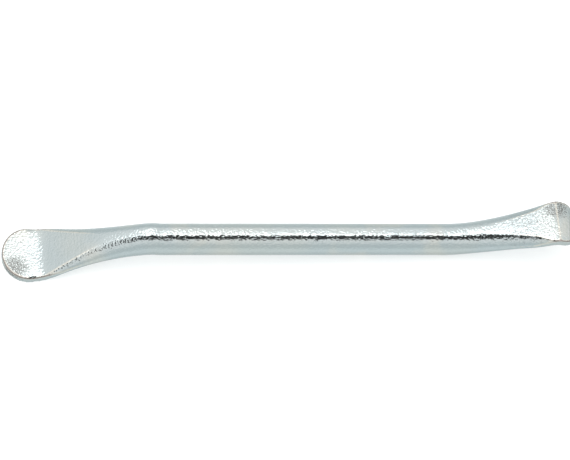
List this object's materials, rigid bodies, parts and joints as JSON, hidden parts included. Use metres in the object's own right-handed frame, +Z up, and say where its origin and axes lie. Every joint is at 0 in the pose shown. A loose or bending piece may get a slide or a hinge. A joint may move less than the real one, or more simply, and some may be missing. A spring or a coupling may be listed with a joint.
{
  "type": "pry bar",
  "caption": "Forged round steel pry bar, S-bent, with a flat round spoon end and a hooked flat tip, bright zinc finish.",
  "frame": {"origin": "floor under the middle of the bar's bounding box, the bar lying on its spoon and its heel", "axes": "+X along the bar from the spoon end to the hooked tip, +Y across the blades, +Z up from the floor on the side the blades face"},
  "size_m": [0.293, 0.0294, 0.024],
  "materials": {
    "zinc_plated_steel": "bright zinc plate over a forged surface"
  },
  "bodies": {
    "root": {"pry_bar": "zinc_plated_steel"}
  },
  "joints": []
}
